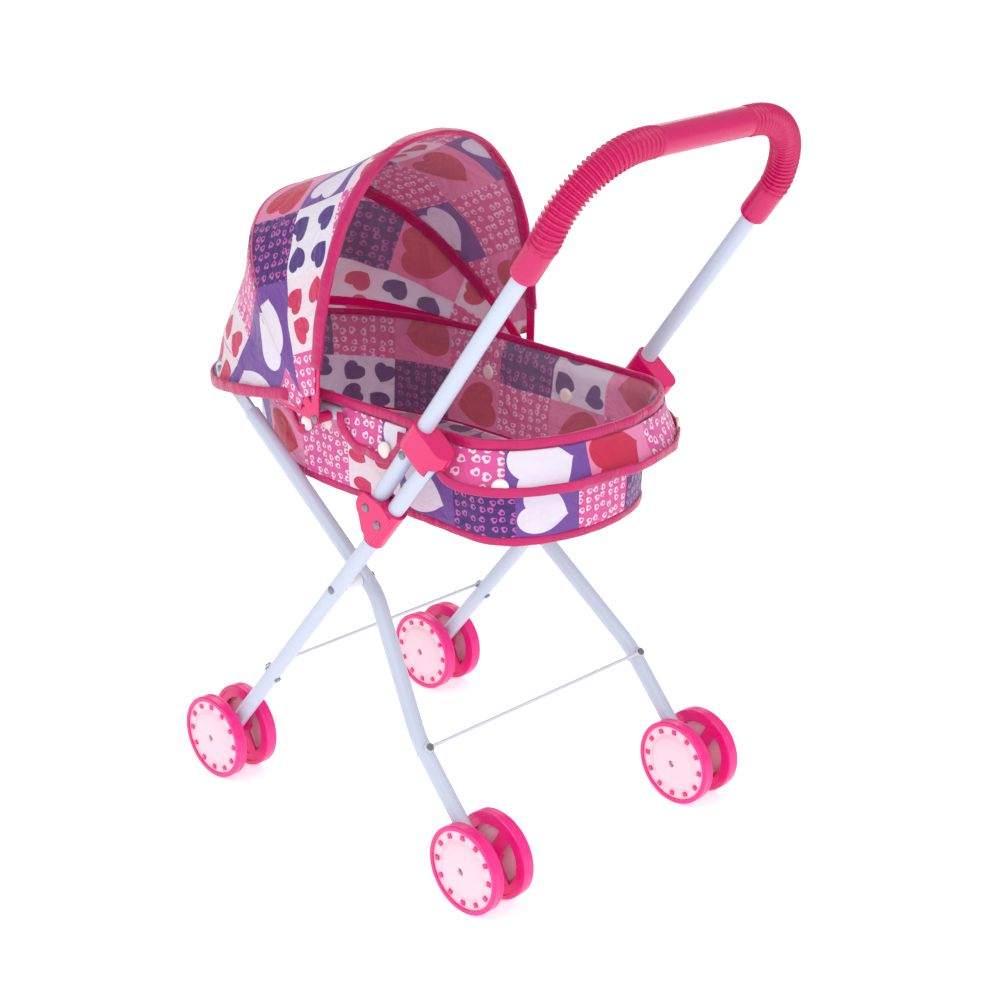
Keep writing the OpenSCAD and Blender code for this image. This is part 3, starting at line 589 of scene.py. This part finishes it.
def hoodPanel(lines, rows, sag, seed, phase):
    # Cloth stretched straight from one line to the next, drawn in by the square of a sine between them
    middle = hoodPivot + np.array([-0.07, 0, 0.03])
    stretches = []
    for first, second, count in zip(lines[:-1], lines[1:], rows):
        t = np.linspace(0, 1, count)[:, None]
        span = np.linalg.norm(second - first, axis=1)
        run = lengths((first + second) / 2, 0)
        u = np.tile((run - run[len(run) // 2])[None], (count, 1))
        v = t * span[None]
        points = first[None] * (1 - t[..., None]) + second[None] * t[..., None]
        inward = middle - points
        inward /= np.linalg.norm(inward, axis=-1, keepdims=True)
        loose = np.sin(math.pi * t) ** 2 * np.clip(span / 0.09, 0, 1)[None] ** 1.5
        pulled = sag + 0.0022 * ripples(u, v, 0.03, 0.11, 8, seed, 0.45)
        points = points + inward * (loose * pulled)[..., None]
        stretches.append(points if not stretches else points[1:])
    points = np.concatenate(stretches)
    run = lengths((lines[0] + lines[-1]) / 2, 0)
    u = np.tile((run - run[len(run) // 2])[None], (len(points), 1))
    v = lengths(points, 0)
    flat = np.stack([u + phase[0], v - v[-1:] / 2 + phase[1]], -1)
    return points, flat, flatArea(points)


# The cloth lies this far over its bows, and starts this many steps from their pivots
hood = {"skin": 0.0012, "bare": 3, "front sag": 0.0030, "rear sag": 0.0040}
frontArch, midArch, rearArch = (arch(bow, hood["skin"]) for bow in ("front", "mid", "rear"))
# Hem of the hood: level round the head, climbing to the front bow at both sides
turn = np.linspace(0, math.pi, bowShape["steps"] * 2 + 1)
hemShape = {"wide": 0.1235, "long": 0.2155, "power": 3.1, "low": 0.3560, "climb": 0.0330, "over": 0.19}
hemY = -hemShape["wide"] * np.sign(np.cos(turn)) * np.abs(np.cos(turn)) ** (2 / hemShape["power"])
hemX = hoodPivot[0] - hemShape["long"] * np.sin(turn).clip(0) ** (2 / hemShape["power"])
climb = np.clip((hemX - (hoodPivot[0] - hemShape["over"])) / hemShape["over"], 0, 1)
hemZ = hemShape["low"] + hemShape["climb"] * climb ** 1.2
hemRoute = np.stack([hemX, hemY, hemZ], -1)

clear = slice(hood["bare"], -hood["bare"])
points, flat, area = hoodPanel([frontArch[clear], midArch[clear]], [40], hood["front sag"], 61, (0.020, 0.118))
hoodFront = newPiece("hood_cloth_front", points, flat, [clothOut, clothIn])
hoodFrontArea = area
points, flat, area = hoodPanel([midArch[clear], rearArch[clear], hemRoute[clear]], [34, 12], hood["rear sag"], 67,
    (0.020, 0.262))
hoodRear = newPiece("hood_cloth_rear", points, flat, [clothOut, clothIn])
for cloth, size, whole in ((hoodFront, (0.56, 0.182), hoodFrontArea), (hoodRear, (0.56, 0.215), area)):
    weld(cloth)
    thicken(cloth, clothThick)
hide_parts("canopy_front")
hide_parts("canopy_rear")
print("hood areas", round(hoodFrontArea, 4), round(area, 4))

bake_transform(hoodFront)
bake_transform(hoodRear)

# Casings cover their bows down to the bare strap near the pivots: steps left bare, inset, width and thickness
casings = {
    "hood_front_casing": {"bow": "front", "bare": 7, "inset": 0.0002, "wide": 0.0125, "thick": 0.0046, "seed": 71,
        "cloth": binding},
    "hood_middle_casing": {"bow": "mid", "bare": 12, "inset": 0.0022, "wide": 0.0130, "thick": 0.0030, "seed": 73,
        "cloth": bindingDark},
}
for name, rule in casings.items():
    lean = math.radians(bows[rule["bow"]]["angle"])
    line = arch(rule["bow"], -rule["inset"])[rule["bare"] : -rule["bare"]]
    fore = np.tile([math.sin(lean), 0.0, -math.cos(lean)], (len(line), 1))
    casing = ribbon(name, line, fore, rule["wide"], rule["thick"], rule["cloth"], seed=rule["seed"])
    soft(casing, "hood_" + rule["bow"])
hemLine = hemRoute[clear] + [0, 0, 0.0005]
hemBand = ribbon("hood_hem_band", hemLine, np.tile(up, (len(hemLine), 1)), 0.0105, 0.0034, binding, seed=79)
soft(hemBand, "carrycot")
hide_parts("hood_hem")
print("hood ready")

# ---- grip ----

handleSlope = math.radians(53.2)
topSlope = math.radians(64.5)
grip = {"start": 0.277, "bend": 0.314, "corner": 0.070, "radius": 0.0110, "pitch": 0.0042, "rib": 0.00125,
    "cuff": 0.030, "smooth": 0.050, "sides": 40, "step": 0.0005, "plain": 0.0006}
legY = 0.1295
handlePivot = np.array([shift + 0.037, 0.0, 0.3165])
upHandle = np.array([math.cos(handleSlope), 0, math.sin(handleSlope)])
upTop = np.array([math.cos(topSlope), 0, math.sin(topSlope)])
toSide = np.array([0.0, 1.0, 0.0])
straight = np.linspace(grip["start"], grip["bend"] - 0.008, 60)[:, None] * upHandle
corner = np.radians(np.linspace(0, 90, 200))[:, None]
bend = grip["bend"] * upHandle + grip["corner"] * (np.sin(corner) * upTop + (1 - np.cos(corner)) * toSide)
half = handlePivot - legY * toSide + np.concatenate([straight, bend])
level = np.linspace(0, 1, 260)[1:-1, None]
mirrored = half[::-1] * [1, -1, 1]
route = np.concatenate([half, half[-1] * (1 - level) + mirrored[0] * level, mirrored])
# Even steps of 0.5 mm along a route whose join is smoothed
run = lengths(route, 0)
even = np.arange(0, run[-1], grip["step"])
route = np.stack([np.interp(even, run, route[:, k]) for k in range(3)], -1)
window = np.hanning(31) / np.hanning(31).sum()
padded = np.concatenate([2 * route[:1] - route[15:0:-1], route, 2 * route[-1:] - route[-2:-17:-1]])
route = np.stack([np.convolve(padded[:, k], window, "valid") for k in range(3)], -1)
ahead = along(route)
# Ribs of a set pitch, faded out over the cuffs at both ends and the plain middle
fromEnd = np.minimum(even, even[-1] - even)
fromMiddle = np.abs(even - even[-1] / 2)
ribbed = np.clip((fromEnd - grip["cuff"]) / 0.002, 0, 1) * np.clip((fromMiddle - grip["smooth"]) / 0.002, 0, 1)
wave = np.cos(2 * math.pi * even / grip["pitch"])
radius = grip["radius"] + grip["rib"] * ribbed * np.sign(wave) * np.abs(wave) ** 0.7
radius += np.where(ribbed > 0, 0.0, grip["plain"])
radius *= np.clip(0.93 + 0.07 * np.sqrt(np.clip(fromEnd / 0.003, 0, 1)), 0, 1)
acrossGrip = np.cross(ahead, [-math.sin(topSlope), 0, math.cos(topSlope)])
acrossGrip /= np.linalg.norm(acrossGrip, axis=1, keepdims=True)
over = np.cross(acrossGrip, ahead)
turn = np.linspace(0, 2 * math.pi, grip["sides"] + 1)[:-1]
tube = route[:, None] + radius[:, None, None] * (np.cos(turn)[None, :, None] * acrossGrip[:, None]
    + np.sin(turn)[None, :, None] * over[:, None])
# Both ends turn in to the tube that comes out of them
turnIn = 0.66
nearEnd = route[:1, None] + (tube[:1] - route[:1, None]) * turnIn
farEnd = route[-1:, None] + (tube[-1:] - route[-1:, None]) * turnIn
tube = np.concatenate([nearEnd, tube, farEnd])
flat = np.stack(np.meshgrid(np.linspace(0, 0.07, grip["sides"] + 1), np.arange(len(tube)) * grip["step"]), -1)
gripPiece = newPiece("grip_ribbed", tube, flat, [looks["grip_pink"]], wrap=True)
soft(gripPiece, "push_handle")
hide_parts("handle_grip")
print("grip ready")

# ---- press studs ----


def stud(name, place, outward, radius=0.0070, deep=0.0024):
    # Domed cap turned round its own middle: profile from the rim's foot to a shallow dimple
    profile = np.array([[0.0, -0.0004], [radius * 0.96, -0.0004], [radius, 0.0003], [radius * 0.99, deep * 0.45],
        [radius * 0.93, deep * 0.78], [radius * 0.75, deep * 0.96], [radius * 0.5, deep],
        [radius * 0.2, deep * 0.97], [0.0, deep * 0.96]])
    outward = np.array(outward) / np.linalg.norm(outward)
    first = np.cross(outward, [0, 0, 1.0])
    first /= np.linalg.norm(first)
    second = np.cross(outward, first)
    turn = np.linspace(0, 2 * math.pi, 41)[:-1]
    rings = (np.cos(turn)[None, :, None] * first + np.sin(turn)[None, :, None] * second) * profile[:, :1, None]
    points = np.array(place) + rings + profile[:, 1:, None] * outward
    flat = np.zeros((len(profile), 41, 2))
    return soft(weld(newPiece(name, points, flat, [looks["snap_ivory"]], wrap=True)), "carrycot")


studs = {"height": 0.3590, "along": (-0.061, 0.0345), "face": 0.1155, "inside": 0.0958, "foot angle": 60,
    "foot out": 0.0240}
footTurn = math.radians(studs["foot angle"])
footX = ring["foot centre"] + (ring["foot"] + studs["foot out"]) * math.cos(footTurn)
footY = (ring["wide"] + studs["foot out"] * 0.62) * math.sin(footTurn)
for side in (-1, 1):
    label = "left" if side < 0 else "right"
    for number, x in enumerate(studs["along"]):
        piece = stud(f"stud_{label}_{number}", (shift + x, side * studs["face"], studs["height"]), (0, side, 0.05))
        if side < 0 and number == 0:
            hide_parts("snap_caps")
        inner = (shift + x, side * studs["inside"], studs["height"] - 0.004)
        stud(f"stud_inside_{label}_{number}", inner, (0, -side, 0.05))
    facing = (math.cos(footTurn) / ring["foot"], side * math.sin(footTurn) / ring["wide"], 0.25)
    stud(f"stud_{label}_foot", (footX, side * footY, studs["height"] - 0.003), facing)
print("studs ready")

# ---- pink lugs behind the windows of each wheel cap ----

lug = {"count": 12, "out": 0.0298, "long": 0.0039, "wide": 0.0040, "low": 0.0095, "high": 0.0024}
lugCorners = np.array([(-1, -1), (1, -1), (1, 1), (-1, 1)]) * [lug["long"] / 2, lug["wide"] / 2]
for row in frame["record"]["subparts"]:
    if not row["node"].startswith("cap_"):
        continue
    capLow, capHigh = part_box(row["node"])
    wheelMiddle = (np.array(capLow) + np.array(capHigh)) / 2
    # The cap's face is the side of its box away from the leg
    legSide = -legY if wheelMiddle[1] < 0 else legY
    away = 1 if wheelMiddle[1] > legSide else -1
    face = capHigh[1] if away > 0 else capLow[1]
    blocks, sides = [], []
    for number in range(lug["count"]):
        turned = 2 * math.pi * number / lug["count"]
        spoke = np.array([math.cos(turned), math.sin(turned)])
        square = np.array([-spoke[1], spoke[0]])
        corners = spoke * lug["out"] + lugCorners[:, :1] * spoke + lugCorners[:, 1:] * square
        for depth in (lug["low"], lug["high"]):
            blocks += [(wheelMiddle[0] + c[0], face - away * depth, wheelMiddle[2] + c[1]) for c in corners]
        first = 8 * number
        sides += [tuple(first + k for k in (0, 1, 2, 3)), tuple(first + k for k in (7, 6, 5, 4))]
        sides += [(first + k, first + 4 + k, first + 4 + (k + 1) % 4, first + (k + 1) % 4) for k in range(4)]
    mesh = bpy.data.meshes.new(row["node"].replace("cap_", "lugs_"))
    mesh.from_pydata(blocks, [], sides)
    mesh.materials.append(looks["wheel_pink"])
    lugs = bpy.data.objects.new(mesh.name, mesh)
    scene.collection.objects.link(lugs)
    soft(weld(lugs), row["node"].replace("cap_", "wheel_"))
print("lugs ready")
